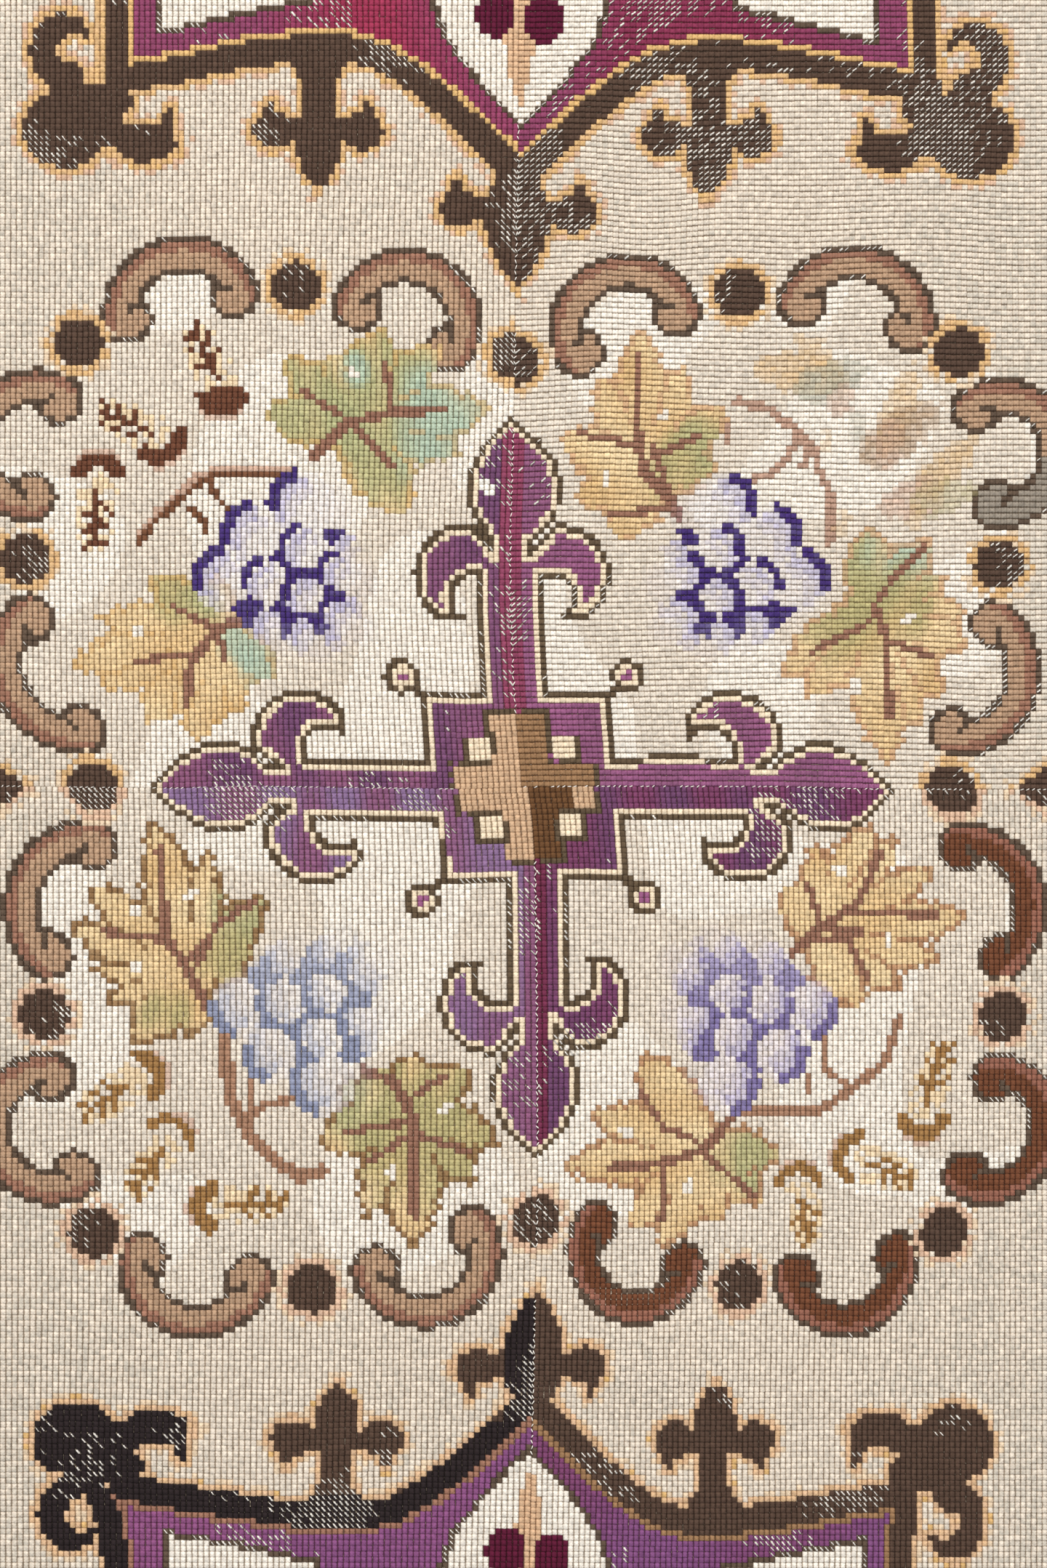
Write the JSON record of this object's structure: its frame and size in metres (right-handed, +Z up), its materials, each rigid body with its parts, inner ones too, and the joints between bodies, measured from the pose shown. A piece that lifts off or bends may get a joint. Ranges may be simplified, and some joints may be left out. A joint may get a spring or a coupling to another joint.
{
  "type": "needlepoint rug",
  "caption": "Cut length of a cross-stitched needlepoint rug sewn from panels, with a cross, scroll wreath, leaves, grapes and a banded border, laid flat.",
  "frame": {"origin": "on the surface that the cloth rests on, under the middle of its outline", "axes": "+X across the width, +Y along the length towards the far end, +Z up through the cloth, stitched face up"},
  "size_m": [0.664, 0.99, 0.006],
  "materials": {
    "wool_nw": "matt wool cross stitch on canvas",
    "wool_ne": "matt wool cross stitch on canvas",
    "wool_sw": "matt wool cross stitch on canvas",
    "wool_se": "matt wool cross stitch on canvas"
  },
  "bodies": {
    "root": {"panel_nw": "wool_nw", "panel_ne": "wool_ne", "panel_sw": "wool_sw", "panel_se": "wool_se"}
  },
  "joints": []
}
